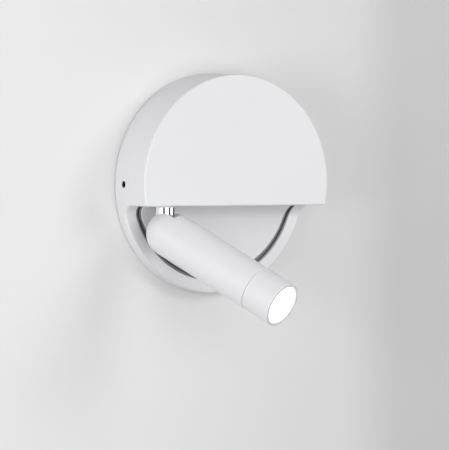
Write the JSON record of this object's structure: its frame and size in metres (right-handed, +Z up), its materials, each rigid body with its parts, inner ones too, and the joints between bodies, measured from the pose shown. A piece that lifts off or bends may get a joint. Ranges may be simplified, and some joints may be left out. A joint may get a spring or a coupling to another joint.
{
  "type": "wall light",
  "caption": "Round white wall light whose lower front is scooped out for a small domed spotlight head that swings and tilts on a chrome stem.",
  "frame": {"origin": "on the wall, at the centre of the round housing and midway between the two wall screw slots", "axes": "+X right and +Z up for someone who faces the light, +Y into the wall; the light stands out towards -Y"},
  "size_m": [0.12, 0.0998, 0.1333],
  "materials": {
    "white_paint": "fine satin powder coat",
    "steel": "zinc plated",
    "black_rubber": "matt",
    "dark_trim": "matt",
    "white_nylon": "satin",
    "white_board": "satin",
    "green_board": "satin",
    "ferrite": "matt",
    "can": "satin",
    "brass": "bright",
    "bright_chrome": "polished",
    "bare_aluminium": "satin",
    "grey_pad": "matt",
    "phosphor": "gloss",
    "clear_optic": "clear",
    "front_glass": "lit",
    "lead_sheath": "satin",
    "core_red": "satin"
  },
  "bodies": {
    "base": {"wall_bracket": "steel", "cable_grommet": "black_rubber", "earth_screw": "brass", "terminal_block": "white_nylon", "terminal_clamps": "brass", "terminal_screws": "steel", "wall_gasket": "grey_pad", "housing_shell": "white_paint", "side_grub_screws": "steel", "recess_plate": "white_paint", "plate_screws": "steel", "groove_liner": "dark_trim", "driver_case": "white_nylon", "driver_lid": "white_nylon", "driver_board": "green_board", "driver_transformer": "ferrite", "driver_capacitors": "can", "driver_screws": "steel", "mains_cores": "core_red", "output_lead": "lead_sheath", "stem_bush": "white_nylon", "stop_pins": "steel"},
    "stem": {"stem": "bright_chrome", "thrust_washer": "white_nylon", "stop_washer": "steel", "spring_washer": "steel", "ring_nut": "brass", "stem_lead": "lead_sheath"},
    "head": {"head_shell": "white_paint", "knuckle_block": "bare_aluminium", "tilt_pins": "steel", "friction_washers": "dark_trim", "shell_screw": "steel", "heat_sink": "bare_aluminium", "thermal_pad": "grey_pad", "led_board": "white_board", "led_chip": "phosphor", "board_screws": "steel", "lens_holder": "white_nylon", "optic_lens": "clear_optic", "lens_spacer": "white_nylon", "front_lens": "front_glass", "front_bezel": "white_paint", "head_lead": "lead_sheath"}
  },
  "joints": [
    {"name": "pan", "type": "hinge", "parent": "base", "child": "stem", "pos_m": [-0.0414, -0.02175, -0.0099], "axis": [0, 0, -1], "range_deg": [-68.2, 111.8]},
    {"name": "tilt", "type": "hinge", "parent": "stem", "child": "head", "pos_m": [-0.0414, -0.02175, -0.0249], "axis": [0.9285, 0.3714, 0], "range_deg": [-25.9, 64.1]}
  ]
}
